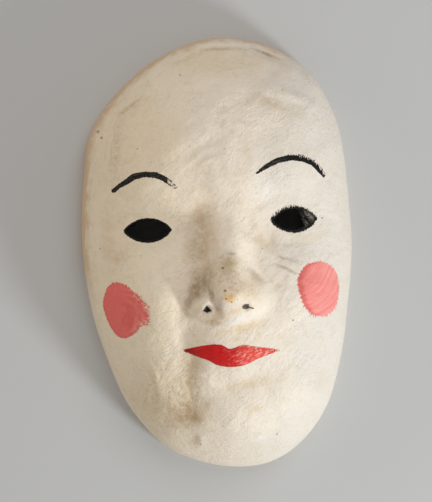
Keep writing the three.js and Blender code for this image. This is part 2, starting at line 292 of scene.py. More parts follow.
def readRim():
    # the solid's outer edge where it rests, as angles and radii in millimetres
    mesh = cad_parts["mask_shell"].data
    outer = {}
    for face in mesh.polygons:
        radial = Vector((face.center.x, face.center.y, 0)).normalized()
        if face.normal.dot(radial) < 0.5:
            continue
        for corner in face.vertices:
            x, y, z = (value / mm for value in mesh.vertices[corner].co)
            if z < 0.01:
                outer[round(math.atan2(y, x), 4)] = math.hypot(x, y)
    edge = sorted(outer.items())
    first, last = edge[0], edge[-1]
    return ([last[0] - math.tau] + [a for a, _ in edge] + [first[0] + math.tau],
            [last[1]] + [r for _, r in edge] + [first[1]])


rimAngles, rimRadii = readRim()


def rimRadius(angle):
    k = min(len(rimAngles) - 1, max(1, bisect.bisect(rimAngles, angle)))
    t = (angle - rimAngles[k - 1]) / (rimAngles[k] - rimAngles[k - 1])
    return rimRadii[k - 1] + (rimRadii[k] - rimRadii[k - 1]) * t


def trimmedRadius(angle):
    wander = noise.noise(Vector((math.cos(angle), math.sin(angle), 0)) * shell["trimWaves"])
    return rimRadius(angle) - shell["trim"] * (0.6 + 0.6 * wander)


def noseHeight(x, y):
    tipX, tipY = nose["tip"]
    along = (tipY + nose["length"] - y) / nose["length"]
    ridge = nose["rise"] * max(0.0, along) ** 1.2
    under = nose["undersideSlope"] * softRamp(y - tipY + nose["underside"], 1.6)
    t = min(1.0, max(0.0, along))
    width = nose["rootWidth"] + (nose["tipWidth"] - nose["rootWidth"]) * smoothStep(nose["flare"], 1, t)
    height = softLower(ridge, under, nose["blend"])
    height *= math.exp(-abs((x - tipX) / (width / 2)) ** nose["rounding"])
    ballX, ballY, reach, rise = nose["ball"]
    height += rise * math.exp(-(math.hypot(x - ballX, y - ballY) / reach) ** 4)
    for middle in nose["nostrils"]:
        gap = math.hypot(x - middle[0], y - middle[1]) / nose["nostrilReach"]
        height -= nose["nostrilDepth"] * math.exp(-gap ** 4)
    return height


def smoothLoop(points, steps=5):
    # a closed curve through the points
    loop = []
    count = len(points)
    for k in range(count):
        before, start, end, after = (Vector(points[(k + j - 1) % count]) for j in range(4))
        for step in range(steps):
            t = step / steps
            loop.append((start * 2 + (end - before) * t
                         + (before * 2 - start * 5 + end * 4 - after) * t * t
                         + (start * 3 - before - end * 3 + after) * t ** 3) / 2)
    return loop


def boxRound(points, margin):
    across, along = zip(*points)
    return min(across) - margin, max(across) + margin, min(along) - margin, max(along) + margin


def inBox(x, y, box):
    return box[0] < x < box[1] and box[2] < y < box[3]


class PaintedPatch:
    # a painted area; depth() is how far inside its outline a point is, negative outside
    def __init__(self, points):
        self.loop = smoothLoop(points)
        self.box = boxRound(self.loop, paintReach["patch"])

    def depth(self, x, y):
        if not inBox(x, y, self.box):
            return -paintReach["patch"]
        gap = distanceToRoute(x, y, self.loop + self.loop[:1])[0]
        inside = False
        for a, b in zip(self.loop, self.loop[1:] + self.loop[:1]):
            if (a[1] > y) != (b[1] > y) and x < a[0] + (y - a[1]) * (b[0] - a[0]) / (b[1] - a[1]):
                inside = not inside
        return gap if inside else max(-paintReach["patch"], -gap)


paintedLips = PaintedPatch(lips["outline"])
paintedCheeks = [PaintedPatch(outline) for outline in cheeks.values()]


def ridged(at):
    # sharp-backed ridges between soft hollows, as crumpled paper dries
    return 1 - abs(noise.noise(at)) * 2.4


def raised(at, mark, shift):
    # one layer of lumps of a size, raised by the mark's rise
    size, rise = handMarks[mark]
    return noise.noise(at / size + Vector(shift)) * rise


def handLumps(x, y):
    # soft lumps of pressed pulp, creases of wet paper, and ripples that run up to the right
    at = Vector((x, y, 0))
    slow = at / handMarks["wander"]
    wander = Vector((noise.noise(slow), noise.noise(slow + Vector((4, 4, 4))), 0)) * 0.6
    lump = raised(at, "lump", (0, 0, 0)) + raised(at, "small lump", (7, 3, 0))
    u, v = turned(x, y, (0, 0), handMarks["turn"])
    across, along, rise = handMarks["crease"]
    crease = ridged(Vector((u / across, v / along, 2)) + wander * 1.6) * rise
    across, along, rise = handMarks["small crease"]
    crease += ridged(Vector((x / across, y / along, 8)) + wander * 2) * rise
    across, along, rise = handMarks["ripple"]
    ripple = noise.noise(Vector((u / across, v / along, 5)) + wander) * rise
    grit = raised(at, "grit", (0, 0, 9))
    u, v = x - crumple["middle"][0], y - crumple["middle"][1]
    jaw = math.exp(-(u / crumple["reach"]) ** 2 - (v / crumple["reach"]) ** 2)
    across, along = crumple["size"]
    crumpled = ridged(Vector((x / across, y / along, 3)) + wander * 3) * crumple["rise"] * jaw
    return lump + crease + ripple + grit + crumpled


wrinkleBoxes = {name: boxRound(route, 3 * reach) for name, (route, reach, _) in wrinkles.items()}


@functools.lru_cache(maxsize=None)
def creaseAt(x, y):
    rise, dirt = 0.0, 0.0
    for name, (route, reach, height) in wrinkles.items():
        if not inBox(x, y, wrinkleBoxes[name]):
            continue
        gap, along = distanceToRoute(x, y, route)
        gap /= reach
        if gap < 3:
            uneven = 0.65 + 0.6 * noise.noise(Vector((x / 6, y / 6, 3)))
            strength = uneven * math.exp(-gap * gap) * (0.35 + 0.65 * math.sin(math.pi * along))
            rise += height * strength
            # hollow creases add to the dirt and painted shade laid in them
            if height < 0:
                dirt += strength
    return rise, dirt


def faceHeight(x, y):
    angle = math.atan2(y, x)
    share = min(1.0, math.hypot(x, y) / trimmedRadius(angle))
    fullness = shell["fullness"] + shell["fullerEnds"] * math.sin(angle) ** 2
    dome = shell["faceDepth"] * max(0.0, 1 - share ** fullness) ** shell["shoulder"]
    forms = noseHeight(x, y) + lips["rise"] * smoothStep(0, lips["slope"], paintedLips.depth(x, y))
    for cx, cy, across, along, rise, degrees in faceForms.values():
        u, v = turned(x, y, (cx, cy), degrees)
        forms += rise * math.exp(-(u / across) ** 2 - (v / along) ** 2)
    forms *= 1 - smoothStep(shell["formsEnd"], 1, share)
    fine = (handLumps(x, y) + creaseAt(x, y)[0]) * (1 - smoothStep(shell["reliefEnds"], 1, share))
    top = cadBox[1][2] / mm - shell["topGap"]
    return max(0.0, softLower(dome + forms + fine, top, shell["topBlend"]))


def squareToPlan(a, b):
    # squares of the grid become rings round the face
    ring = max(abs(a), abs(b))
    if ring == 0:
        return 0.0, 0.0
    if abs(a) >= abs(b):
        angle = math.pi / 4 * b / a + (math.pi if a < 0 else 0)
    else:
        angle = math.pi / 4 * (2 - a / b) + (math.pi if b < 0 else 0)
    angle = math.atan2(math.sin(angle), math.cos(angle))
    even = shell["evenRings"]
    radius = (even * ring + (1 - even) * math.sin(ring * math.pi / 2)) * trimmedRadius(angle)
    return radius * math.cos(angle), radius * math.sin(angle)


def eyeOutline(eye, steps=48):
    # an almond with pointed corners
    x, y, degrees = eye
    points = []
    for side in (1, -1):
        for k in range(steps):
            u = side * (1 - 2 * k / steps)
            v = side * max(0.0, 1 - u * u) ** 0.8
            points.append(turned(u * eyes["width"] / 2, v * eyes["height"] / 2, (0, 0), -degrees))
    return [(x + px, y + py) for px, py in points]


def insideEye(x, y, eye):
    u, v = turned(x, y, eye[:2], eye[2])
    u, v = u / (eyes["width"] / 2), v / (eyes["height"] / 2)
    return abs(u) < 1 and abs(v) < (1 - u * u) ** 0.8


def openEye(bm, eye):
    # the cells inside the almond go, and the edge that is left is drawn onto it
    outline = eyeOutline(eye)
    cut = [face for face in bm.faces if insideEye(*face.calc_center_median().xy, eye)]
    bmesh.ops.delete(bm, geom=cut, context="FACES")
    reach = eyes["width"] * eyes["near"]
    near = [v for v in bm.verts if math.hypot(v.co.x - eye[0], v.co.y - eye[1]) < reach]
    edge = [v for v in near if v.is_boundary]
    for v in edge:
        v.co.xy = min(outline, key=lambda p: (p[0] - v.co.x) ** 2 + (p[1] - v.co.y) ** 2)
    bmesh.ops.remove_doubles(bm, verts=edge, dist=eyes["merge"])
    inner = [v for v in near if v.is_valid and not v.is_boundary]
    for _ in range(eyes["easing"]):
        bmesh.ops.smooth_vert(bm, verts=inner, factor=0.5, use_axis_x=True, use_axis_y=True)


# Painted strokes: route and half width at even steps along it, in millimetres
browStrokes = {
    "left": ([(-57.8, 36.1), (-55.1, 38.3), (-51.3, 40.2), (-47.3, 42.8), (-41.9, 43.7),
              (-35.8, 43.0), (-32.0, 41.1), (-29.0, 38.9), (-25.6, 35.9)],
             [1.25, 1.1, 1.5, 1.75, 1.5, 1.6, 1.5, 1.35, 0.85]),
    "right": ([(17.6, 41.5), (22.5, 44.8), (29.1, 48.0), (37.5, 49.6), (44.3, 48.5),
               (49.5, 46.3), (53.9, 42.1), (56.1, 39.2)],
              [0.5, 1.2, 1.5, 1.6, 1.6, 1.5, 1.35, 0.8]),
}


sideBlend = 0.6  # millimetres from a stroke's middle to where its side is sure


def insideBrow(x, y):
    # how far inside the stroke a point is, and 1 above the stroke's middle or -1 below it
    best, side = -paintReach["brow"], 0.0
    for route, halves in browStrokes.values():
        gap, along = distanceToRoute(x, y, route)
        place = along * (len(halves) - 1)
        k = min(len(halves) - 2, int(place))
        half = halves[k] + (halves[k + 1] - halves[k]) * (place - k)
        if half - gap > best:
            best = half - gap
            middle = route[k][1] + (route[k + 1][1] - route[k][1]) * (place - k)
            side = max(-1.0, min(1.0, (y - middle) / sideBlend))
    return best, side


eyeOutlines = {eye: eyeOutline(eye, 16) + eyeOutline(eye, 16)[:1] for eye in eyes["places"]}


def outsideEye(x, y):
    best = paintReach["eye"]
    for eye in eyes["places"]:
        if math.hypot(x - eye[0], y - eye[1]) < eyes["width"]:
            best = min(best, distanceToRoute(x, y, eyeOutlines[eye])[0])
    return best


def leanEyeCut(bm, skin):
    # the right eye's outer end was cut at a slant, so its wall shows from the front
    (x1, y1), (x2, y2) = eyes["slantedCut"]
    across = Vector((y1 - y2, x2 - x1)).normalized()
    for v in bm.verts:
        onCut = v not in skin and any(face.material_index == 2 for face in v.link_faces)
        if onCut and math.hypot(v.co.x - x1, v.co.y - y1) < eyes["cutReach"]:
            past = (v.co.x - x1) * across.x + (v.co.y - y1) * across.y
            if past > 0:
                v.co.x -= past * across.x
                v.co.y -= past * across.y


def makeMask():
    bm = bmesh.new()
    bmesh.ops.create_grid(bm, x_segments=shell["columns"], y_segments=shell["rows"], size=1)
    for v in bm.verts:
        v.co.xy = squareToPlan(v.co.x, v.co.y)
    for eye in eyes["places"]:
        openEye(bm, eye)
    layers = {name: bm.verts.layers.float.new(name)
              for name in ("rimDistance", "crease", "lipPaint", "cheekPaint", "browPaint",
                           "browSide", "eyeDistance")}
    for v in bm.verts:
        x, y = v.co.xy
        v.co.z = faceHeight(x, y)
        v[layers["rimDistance"]] = trimmedRadius(math.atan2(y, x)) - math.hypot(x, y)
        v[layers["crease"]] = creaseAt(x, y)[1]
        v[layers["lipPaint"]] = paintedLips.depth(x, y)
        v[layers["cheekPaint"]] = max(patch.depth(x, y) for patch in paintedCheeks)
        v[layers["browPaint"]], v[layers["browSide"]] = insideBrow(x, y)
        v[layers["eyeDistance"]] = outsideEye(x, y)
    bm.normal_update()
    print("face pressed:", len(bm.faces), "cells")

    outer = set(bm.faces)
    skin = set(bm.verts)
    bmesh.ops.solidify(bm, geom=list(bm.faces), thickness=shell["wall"])
    for face in bm.faces:
        onSkin = sum(v in skin for v in face.verts)
        face.smooth = True
        if face not in outer:
            face.material_index = 1 if onSkin == 0 else 2
    leanEyeCut(bm, skin)
    for edge in bm.edges:
        kinds = {face.material_index for face in edge.link_faces}
        edge.smooth = not (2 in kinds and len(kinds) > 1)
    for v in bm.verts:
        v.co.z = max(0.0, v.co.z)
    bmesh.ops.scale(bm, verts=bm.verts, vec=(mm, mm, mm))
    mesh = bpy.data.meshes.new("mask_skin")
    bm.to_mesh(mesh)
    bm.free()
    piece = bpy.data.objects.new("mask_skin", mesh)
    bpy.context.collection.objects.link(piece)
    print("wall given its thickness:", len(mesh.polygons), "faces",
          [sum(p.material_index == k for p in mesh.polygons) for k in range(3)])
    return piece


mask = makeMask()


class Wire:
    # a socket that Python sums can use; each operation adds its Math node
    def __init__(self, tree, socket):
        self.tree = tree
        self.socket = socket

    def math(self, operation, *values):
        node = self.tree.nodes.new("ShaderNodeMath")
        node.operation = operation
        for slot, value in zip(node.inputs, values):
            if isinstance(value, Wire):
                self.tree.links.new(value.socket, slot)
            else:
                slot.default_value = value
        return Wire(self.tree, node.outputs[0])

    def __add__(self, other):
        return self.math("ADD", self, other)

    def __radd__(self, other):
        return self.math("ADD", other, self)

    def __sub__(self, other):
        return self.math("SUBTRACT", self, other)

    def __rsub__(self, other):
        return self.math("SUBTRACT", other, self)

    def __mul__(self, other):
        return self.math("MULTIPLY", self, other)

    def __rmul__(self, other):
        return self.math("MULTIPLY", other, self)

    def __truediv__(self, other):
        return self.math("DIVIDE", self, other)

    def __pow__(self, other):
        return self.math("POWER", self, other)

    def atLeast(self, other):
        return self.math("MAXIMUM", self, other)

    def atMost(self, other):
        return self.math("MINIMUM", self, other)

    def size(self):
        return self.math("ABSOLUTE", self)


class Finish:
    # one material and the nodes that make it
    def __init__(self, name):
        self.material = bpy.data.materials.new(name)
        self.material.use_nodes = True
        self.tree = self.material.node_tree
        self.tree.nodes.clear()
        place = self.node("TexCoord", {}, {}, "Object")
        self.place = self.node("VectorMath", {"operation": "SCALE"}, {0: place, "Scale": 1 / mm}, 0)
        self.x = self.node("SeparateXYZ", {}, {0: self.place}, "X")
        self.y = self.node("SeparateXYZ", {}, {0: self.place}, "Y")

    def node(self, kind, settings, sockets, output):
        made = self.tree.nodes.new("ShaderNode" + kind)
        for key, value in settings.items():
            setattr(made, key, value)
        for key, value in sockets.items():
            if isinstance(value, Wire):
                self.tree.links.new(value.socket, made.inputs[key])
            else:
                made.inputs[key].default_value = value
        return Wire(self.tree, made.outputs[output])

    def noise(self, size, detail=2.0, rough=0.5, at=None):
        # size is the width of a blotch, in millimetres
        return self.node("TexNoise", {}, {"Vector": at or self.place, "Scale": 1 / size,
                                          "Detail": detail, "Roughness": rough}, 0)

    def streaks(self, degrees, across, along, detail=2.0):
        # noise drawn out along a direction, as a brush leaves it
        turnedPlace = self.node("Mapping", {"vector_type": "TEXTURE"},
                                {"Vector": self.place, "Rotation": (0, 0, math.radians(degrees)),
                                 "Scale": (along, across, across)}, 0)
        return self.noise(1, detail, at=turnedPlace)

    def ramp(self, value, low, high, start=0.0, end=1.0):
        return self.node("MapRange", {"interpolation_type": "SMOOTHSTEP"},
                         {"Value": value, "From Min": low, "From Max": high,
                          "To Min": start, "To Max": end}, 0)

    def attribute(self, name):
        return self.node("Attribute", {"attribute_name": name}, {}, "Fac")

    def coat(self, under, paint, amount):
        return self.node("Mix", {"data_type": "RGBA"}, {0: amount, 6: under, 7: paint}, 2)

    def blot(self, middle, reach, degrees=0.0):
        # 0 in the middle, 1 at the reach
        angle = math.radians(degrees)
        dx, dy = self.x - middle[0], self.y - middle[1]
        u = (dx * math.cos(angle) + dy * math.sin(angle)) / reach[0]
        v = (dy * math.cos(angle) - dx * math.sin(angle)) / reach[1]
        return (u * u + v * v) ** 0.5

    def brushed(self, middle, around, outward, detail=2.0):
        # bristle marks about a middle: their length round it, at 14 mm from it, and outward
        dx, dy = self.x - middle[0], self.y - middle[1]
        reach = (dx * dx + dy * dy) ** 0.5
        ring = 14 / around
        at = self.node("CombineXYZ", {}, {"X": dx / reach * ring, "Y": dy / reach * ring,
                                          "Z": reach / outward}, 0)
        return self.noise(1, detail, at=at)

    def gapTo(self, start, end):
        # distance to the line between two points
        dx, dy = end[0] - start[0], end[1] - start[1]
        span = dx * dx + dy * dy
        t = (self.x - start[0]) * (dx / span) + (self.y - start[1]) * (dy / span)
        t = t.atLeast(0).atMost(1)
        u = self.x - start[0] - t * dx
        v = self.y - start[1] - t * dy
        return (u * u + v * v) ** 0.5

    def insideCorners(self, corners):
        # how far inside a figure with straight sides, its corners given clockwise
        depth = None
        for (x1, y1), (x2, y2) in zip(corners, corners[1:] + corners[:1]):
            side = math.hypot(x2 - x1, y2 - y1)
            gap = (self.x - x1) * ((y2 - y1) / side) - (self.y - y1) * ((x2 - x1) / side)
            depth = gap if depth is None else depth.atMost(gap)
        return depth

    def bump(self, height, strength, reach=1.0):
        return self.node("Bump", {}, {"Strength": strength, "Distance": reach * mm,
                                      "Height": height}, 0)

    def finish(self, **sockets):
        named = {key.replace("_", " "): value for key, value in sockets.items()}
        surface = self.node("BsdfPrincipled", {}, named, 0)
        end = self.tree.nodes.new("ShaderNodeOutputMaterial")
        self.tree.links.new(surface.socket, end.inputs["Surface"])
        return self.material


def colour(red, green, blue):
    # a screen colour, 0 to 255, as the shader wants it
    parts = [value / 255 for value in (red, green, blue)]
    return tuple(v / 12.92 if v < 0.04045 else ((v + 0.055) / 1.055) ** 2.4 for v in parts) + (1.0,)


gesso = {
    # the colour of the painted highlights
    "paintedHighlight": colour(252, 247, 240),
    # pale is also the painted shade that greys the lit right side
    "pale": colour(236, 227, 214),
    "cream": colour(251, 237, 218),
    # warm is also the painted light that brightens the shaded left side and the nose's left wing
    "warm": colour(251, 234, 207),
    "yellowed": colour(228, 204, 164),
    "tan": colour(202, 170, 128),
    "apricot": colour(222, 186, 144),
    "olive": colour(186, 160, 106),
    "ochre": colour(236, 178, 72),
    "dirt": colour(146, 118, 80),
    "grime": colour(98, 76, 50),
    "speck": colour(84, 54, 30),
    "red speck": colour(176, 84, 52),
    "roughness": 0.46,
    "bump": 1.2,  # millimetres that the grain and brush marks stand up
    "gloss": 0.34,
    "density": 1.45,
}

# Stains of age, with painted shade and painted highlights among them where marked: middle, reach, turn
# in degrees, colour name and strength
stainsAndPaintedLight = [
    ((-45, 62), (26, 42), -18, "yellowed", 0.3),
    ((-58, -2), (12, 34), 0, "yellowed", 0.18),
    ((-62, 10), (5, 20), 0, "tan", 0.25),
    ((-57, -1), (7, 5), 0, "tan", 0.3),
    ((4, 104), (44, 12), 0, "yellowed", 0.5),
    ((-38, -78), (24, 26), -20, "yellowed", 0.5),
    # painted shade down the left side of the nose bridge, with some stain
    ((-12.5, 12), (9.5, 28), -4, "tan", 0.6),
    ((-16, 0), (8, 20), -4, "dirt", 0.2),
    ((-6, -10), (9, 16), -8, "olive", 0.3),
    # painted shade on the left of the nose
    ((-14.8, -17), (6, 12), -28, "dirt", 0.8),
    # painted shade in the groove above the nose's left wing
    ((-20.6, -24), (3.6, 9.5), -22, "dirt", 0.62),
    # painted shade in the crease between the nose's ball and its left wing
    ((-9.9, -22.4), (1.7, 5.4), 14, "grime", 0.6),
    ((9, -20), (10, 11), 0, "yellowed", 0.65),
    ((-1.0, -20), (8.6, 9), 0, "ochre", 0.12),
    ((0.6, -6.6), (7.0, 7.4), 0, "olive", 0.58),
    ((2.2, -0.6), (3.6, 1.0), -6, "grime", 0.34),
    ((-3.4, -1.6), (1.0, 3.2), -38, "grime", 0.2),
    ((-0.6, -23.6), (3.9, 3.0), 0, "ochre", 1.0),
    # painted shade along the fold from the nose root to the right cheek
    ((14.5, -13), (9.5, 2.8), -42, "dirt", 0.34),
    # painted shade beside the left nostril, under the nose's ball
    ((-6.8, -29.5), (3.2, 6), 28, "dirt", 0.5),
    # painted shade on the underside of the nose
    ((1, -31), (10, 3), 14, "yellowed", 0.6),
    ((-9, -36.5), (8, 2.6), -12, "tan", 0.6),
    # painted shade on the upper lip under the nose's edge
    ((8, -40), (18, 3.2), 10, "yellowed", 0.75),
    # painted highlight along the edge under the nose
    ((4.5, -35.6), (13, 2.6), 18, "paintedHighlight", 0.6),
    ((20, 6), (5, 12), 38, "yellowed", 0.45),
    # painted shade in the smile line beside the mouth's left corner, with dirt
    ((-21, -60), (8, 15), 0, "tan", 0.55),
    # painted shade on the chin's left, with dirt
    ((-24, -85), (15, 11), 20, "tan", 0.75),
    ((-17.2, -89.1), (4.4, 4.4), 0, "olive", 0.4),
    ((-19.5, -101), (4, 6.5), 0, "olive", 0.36),
    ((30, 78), (24, 5), -20, "yellowed", 0.4),
    ((45, 6), (12, 4), 12, "yellowed", 0.35),
    ((9, -70), (16, 4), 8, "yellowed", 0.5),
    ((12, -84), (5, 3), 0, "yellowed", 0.6),
    # painted highlight on the chin
    ((15.2, -100.6), (3.6, 2.6), 20, "paintedHighlight", 0.9),
    # painted shade in the crown fold, with dirt
    ((30, 108.2), (10, 1.3), -24, "dirt", 0.6),
    ((6, 111.6), (14, 1.2), -2, "tan", 0.5),
    ((-47, 81.5), (8, 1.4), 36, "tan", 0.6),
    # painted shade under the nose's left wing, tinted brown
    ((-10, -33), (9, 5.5), -10, "tan", 0.5),
    # painted light on the nose's left wing
    ((-17, -28.2), (3.6, 5), -20, "warm", 1.0),
    # painted light on the right of the nose root, by the right eye's inner corner
    ((22, 30), (9, 13), 15, "paintedHighlight", 0.5),
    ((50, -72), (10, 7), 40, "tan", 0.16),
]

# Specks: middle, size, colour name
specks = [
    ((-64.2, 69.4), 0.9, "dirt"), ((-62.6, 65.6), 0.8, "dirt"), ((-19.1, 97.4), 0.5, "dirt"),
    ((35.5, 86.8), 0.4, "dirt"), ((-44.7, 57.7), 0.4, "dirt"), ((-17.0, 57.1), 0.45, "speck"),
    ((54.3, 16.6), 0.5, "speck"), ((34.3, -37.6), 0.55, "speck"), ((19.4, 1.4), 0.4, "dirt"),
    ((-3.4, -7.9), 0.8, "speck"), ((-3.6, -19.9), 0.8, "red speck"), ((-3.2, -24.0), 0.65, "red speck"),
    ((-0.3, -25.9), 0.5, "red speck"), ((2.7, -24.6), 0.4, "red speck"), ((24.8, -99.2), 0.55, "dirt"),
    ((-66.2, 5.4), 0.4, "speck"), ((-16.2, -103.2), 0.5, "dirt"),
]

# Hairlines where the paper wrinkled below the right eye: from, to
hairlines = [
    ((24.7, -6.8), (31.0, -8.9)), ((31.0, -8.9), (40.3, -14.2)), ((27.0, -7.4), (36.5, -13.0)),
    ((28.4, -3.4), (38.4, -6.9)),
]


def paintGesso(f, rim):
    # whitest and greyest at the right, warmer and brighter to the left: painted shade on the lit right
    # side and painted light on the shaded left side, with age yellowing at the left; then the stains,
    # with painted shade and painted highlights among them, and the specks of age
    drift = (f.noise(38, 3) - 0.5) * 60
    # painted shade and light: the lit right side is painted greyer, the shaded left side brighter and
    # yellower
    base = f.coat(gesso["pale"], gesso["cream"], f.ramp(f.x + drift, 50, 6))
    base = f.coat(base, gesso["warm"], f.ramp(f.x + drift, 8, -50))
    base = f.coat(base, gesso["yellowed"], f.ramp(f.noise(5.5, 5, 0.62), 0.5, 0.78, 0, 0.45))
    base = f.coat(base, gesso["pale"], f.ramp(f.noise(8, 5, 0.62), 0.56, 0.74, 0, 0.45))
    patchy = f.ramp(f.noise(3.6, 5, 0.65), 0.26, 0.62, 0.45, 1)
    wander = (f.noise(8, 4, 0.6) - 0.5) * 1.1
    # the stains, with the painted shade and painted highlights among them
    for middle, reach, turn, paint, strength in stainsAndPaintedLight:
        spot = f.ramp(f.blot(middle, reach, turn) + wander, 1.2, 0.1)
        base = f.coat(base, gesso[paint], spot * patchy * strength)
    upperLeft = f.ramp(f.y * 0.8 - f.x * 0.75, 26, 62) * f.ramp(f.x, 62, 30)
    tinted = f.ramp(rim + wander * 9, 5.0, 0.6) * upperLeft
    base = f.coat(base, gesso["apricot"], tinted * 0.8)
    # dirt and painted shade in the hollow creases
    creaseDirtAndShade = f.attribute("crease") * f.ramp(f.noise(2.2, 3), 0.3, 0.6)
    base = f.coat(base, gesso["dirt"], creaseDirtAndShade.atMost(1) * 0.34)
    onNose = f.ramp(f.blot((-1, -13), (10, 17)), 1, 0.4)
    base = f.coat(base, gesso["tan"], f.ramp(f.noise(2.2, 5, 0.75), 0.48, 0.62) * onNose * 0.5)
    jaw = f.ramp(f.blot(crumple["middle"], (30, 30)), 1, 0.3)
    base = f.coat(base, gesso["dirt"], f.ramp(f.noise(2.4, 5, 0.66), 0.5, 0.34) * jaw * 0.22)
    pores = f.ramp(f.noise(0.9, 2, 0.6), 0.62, 0.74, 0, 0.5) * f.ramp(f.noise(12, 3), 0.4, 0.62)
    base = f.coat(base, gesso["dirt"], pores)
    ragged = (f.noise(0.7, 3) - 0.5) * 3
    for middle, size, paint in specks:
        spot = f.ramp(f.blot(middle, (size, size)) + ragged, 1.2, 0.3)
        base = f.coat(base, gesso[paint], spot * 0.8)
    for start, end in hairlines:
        line = f.ramp(f.gapTo(start, end) + ragged * 0.25 + wander * 0.5, 1.1, 0)
        base = f.coat(base, gesso["dirt"], line * 0.22)
    return base


cheekPaint = {
    "left": {"middle": (-54.0, -28.0), "rose": colour(246, 108, 102), "streak": colour(220, 68, 60),
             "light": colour(248, 138, 126)},
    "right": {"middle": (50.4, -21.8), "rose": colour(248, 138, 130), "streak": colour(222, 92, 84),
              "light": colour(252, 162, 152)},
}


def paintCheeks(f, base):
    # dabbed with a round brush: the left one runs dry at its right, the right one frays all round
    depth = f.attribute("cheekPaint")
    leftSpot, rightSpot = cheekPaint["left"], cheekPaint["right"]
    hairs = f.brushed(leftSpot["middle"], 0.75, 7, 3)
    dry = f.ramp(f.x, -54, -45) * f.ramp(f.y, -43, -37)
    frayed = depth + (hairs - 0.5) * (1.0 + f.ramp(f.y, -20, -14) * 2.2 + dry * 6.5)
    bare = dry * f.ramp(depth, 4.6, 0.2) * f.ramp(hairs, 0.48, 0.55)
    bare = bare * f.ramp(f.noise(1.3, 2), 0.42, 0.5)
    leftMask = f.ramp(frayed, -0.15, 0.25) * (1 - bare) * f.ramp(f.x, 0, -1)
    swirl = f.brushed((-58, -34), 9, 1.5, 3)
    rose = f.coat(leftSpot["rose"], leftSpot["light"],
                  f.ramp(swirl, 0.4, 0.64) * f.ramp(f.x, -58, -46) * 0.9)
    rose = f.coat(rose, leftSpot["light"], f.ramp(f.noise(1.6, 4, 0.7), 0.54, 0.7) * 0.5)
    streak = f.ramp(f.blot((-52, -30), (4.5, 15), -6) + (swirl - 0.5) * 3.2, 1.3, 0.0)
    rose = f.coat(rose, leftSpot["streak"], streak * 0.36)
    rose = f.coat(rose, leftSpot["streak"], f.ramp(depth, 1.2, 0.1) * 0.4)
    base = f.coat(base, rose, leftMask * 0.96)

    hairs = f.brushed(rightSpot["middle"], 0.6, 5, 3)
    frayed = depth + (hairs - 0.5) * (3.8 + f.ramp(f.y, -30, -36) * 4)
    rightMask = f.ramp(frayed, -0.2, 0.4) * f.ramp(f.x, 0, 1)
    swirl = f.brushed((38, -4), 9, 1.0, 4)
    rose = f.coat(rightSpot["rose"], rightSpot["light"],
                  f.ramp(swirl, 0.42, 0.64) * f.ramp(f.x + (swirl - 0.5) * 20, 43, 52))
    redder = f.ramp(depth + (f.x - 50) * 0.26 + (swirl - 0.5) * 6, 2.4, -1.0)
    rose = f.coat(rose, rightSpot["streak"], redder * 0.85)
    base = f.coat(base, rose, rightMask * f.ramp(hairs, 0.2, 0.36, 0.8, 0.96))
    return base, leftMask + rightMask


lipPaint = {
    "red": colour(220, 20, 20),
    "deep": colour(130, 4, 8),
    "bright": colour(246, 80, 64),
    "light": colour(255, 182, 166),
    "roughness": 0.26,
}


def paintLips(f, base, fine):
    depth = f.attribute("lipPaint")
    dryEnd = f.ramp(f.x, 17, 24)
    stroke = f.streaks(14, 0.55, 4.5, 4)
    mask = f.ramp(depth + (fine - 0.5) * 0.5 + (stroke - 0.5) * (0.3 + dryEnd * 0.8), -0.12, 0.2)
    red = f.coat(lipPaint["red"], lipPaint["bright"], f.ramp(f.x + (stroke - 0.5) * 16, -2, 12))
    red = f.coat(red, lipPaint["deep"], f.ramp(f.x + (stroke - 0.5) * 14, -15, -27, 0, 0.9))
    glint = f.ramp(f.streaks(28, 1.1, 3.6, 3), 0.48, 0.62) * f.ramp(f.x + (stroke - 0.5) * 20, -4, 10)
    red = f.coat(red, lipPaint["light"], glint * 0.85)
    red = f.coat(red, lipPaint["deep"], f.ramp(f.streaks(24, 0.4, 2.4, 3), 0.46, 0.34) * 0.3)
    return f.coat(base, red, mask), mask, stroke


ink = {
    "black": colour(9, 6, 4),
    "dry": colour(78, 70, 60),
    # the nostrils' black paint as it shows where light falls on it
    "thin": colour(84, 76, 62),
    "leftNostril": [(-12.7, -26.9), (-9.8, -30.4), (-12.6, -31.4), (-15.0, -30.2)],
    "rightNostril": (7.8, -28.8),
    "rightTail": ((9, -29.2), (12.0, -29.9)),
    "roughness": 0.74,
}


